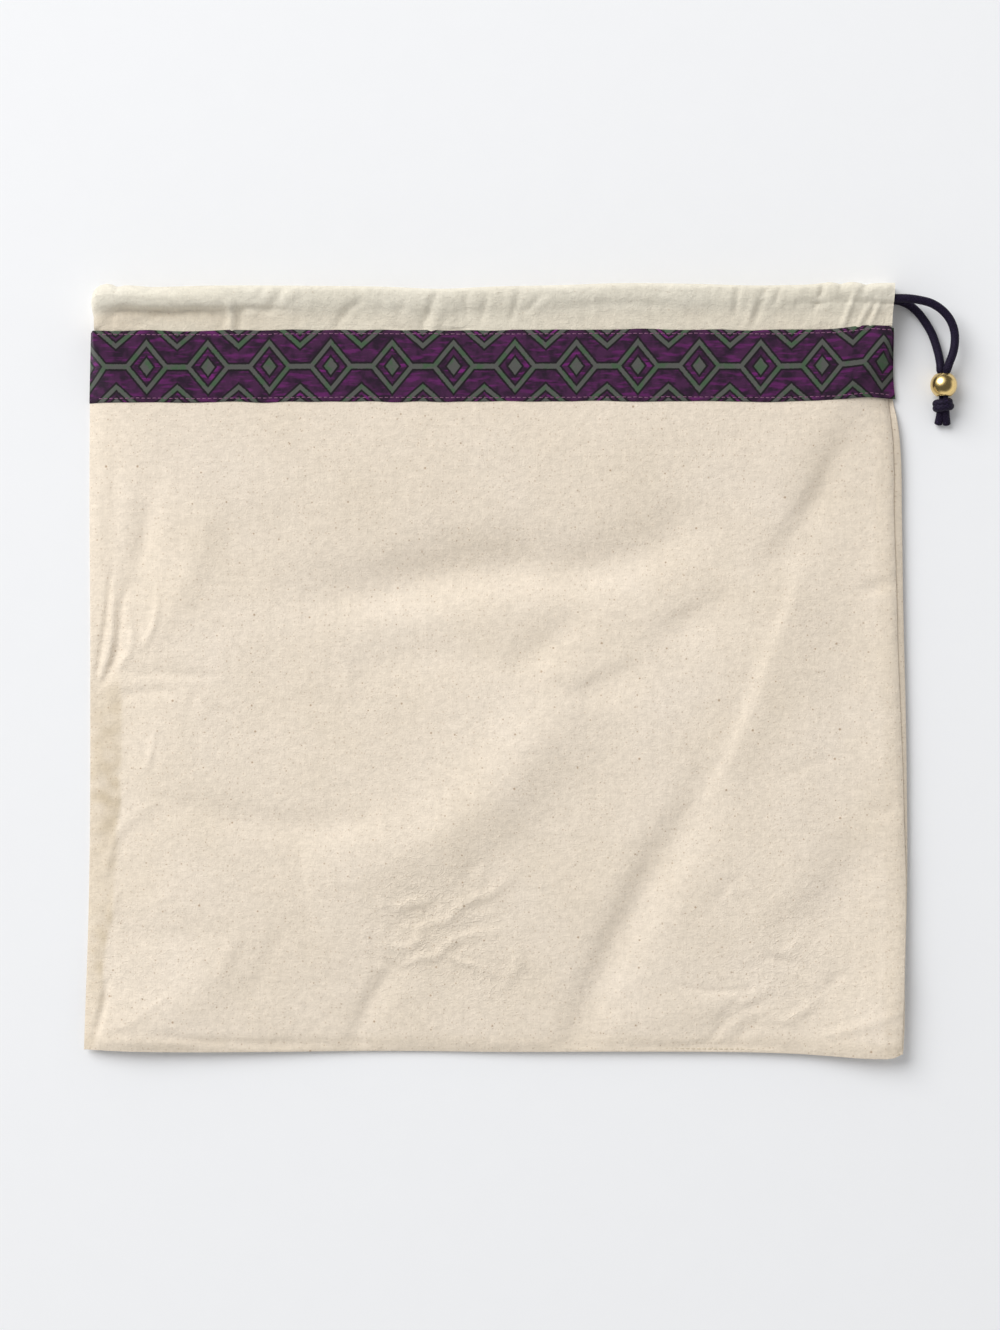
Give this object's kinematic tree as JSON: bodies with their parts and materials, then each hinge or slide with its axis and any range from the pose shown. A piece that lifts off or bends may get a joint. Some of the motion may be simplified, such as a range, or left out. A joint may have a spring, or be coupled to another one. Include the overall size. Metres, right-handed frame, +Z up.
{
  "type": "drawstring dust bag",
  "caption": "Flat cotton dust bag with a patterned ribbon band below a cord casing, closed by a drawcord whose ends pass through a ball bead and are knotted.",
  "frame": {"origin": "on the table under the middle of the bag, measured without the cord's free end", "axes": "+X across the bag towards the side where the cord comes out, +Y towards the mouth, +Z up from the table through the front face"},
  "size_m": [0.4271, 0.376, 0.0156],
  "materials": {
    "cotton": "unbleached plain-weave cotton, matte, with small brown flecks",
    "casing_cotton": "slightly greyer plain-weave cotton, matte",
    "ribbon": null,
    "ribbon_thread": "mauve sewing thread",
    "seam_thread": "beige sewing thread",
    "cord": "dark aubergine braided cord",
    "bead": "polished gold-coloured metal"
  },
  "bodies": {
    "bag": {"front_panel": "cotton", "back_panel": "cotton", "left_seam_allowance": "cotton", "right_seam_allowance": "cotton", "bottom_seam_allowance": "cotton", "front_casing": "casing_cotton", "back_casing": "casing_cotton", "casing_left_fold": "casing_cotton", "front_ribbon": "ribbon", "back_ribbon": "ribbon", "front_ribbon_lower_stitching": "ribbon_thread", "front_ribbon_upper_stitching": "ribbon_thread", "back_ribbon_lower_stitching": "ribbon_thread", "back_ribbon_upper_stitching": "ribbon_thread", "left_seam_stitching": "seam_thread", "right_seam_stitching": "seam_thread", "bottom_seam_stitching": "seam_thread"},
    "drawcord": {"drawcord_in_casing": "cord"},
    "cord_end": {"drawcord_upper_leg": "cord", "drawcord_lower_leg": "cord", "drawcord_upper_strand": "cord", "drawcord_lower_strand": "cord", "drawcord_knot": "cord", "drawcord_left_tail": "cord", "drawcord_right_tail": "cord"},
    "bead": {"bead": "bead"}
  },
  "joints": [
    {"name": "cord_pull", "type": "slide", "parent": "bag", "child": "drawcord", "axis": [1, 0, 0], "range_m": [0, 0.2], "deforming": ["front_casing", "back_casing", "casing_left_fold"]},
    {"name": "cord_swing", "type": "hinge", "parent": "drawcord", "child": "cord_end", "pos_m": [0.1955, 0.182, 0.0078], "axis": [0, 0, 1], "range_deg": [-15, 60], "deforming": ["drawcord_upper_leg", "drawcord_lower_leg"]},
    {"name": "bead_slide", "type": "slide", "parent": "cord_end", "child": "bead", "axis": [0, 1, 0], "range_m": [0, 0.022], "deforming": ["drawcord_upper_strand", "drawcord_lower_strand"]}
  ]
}
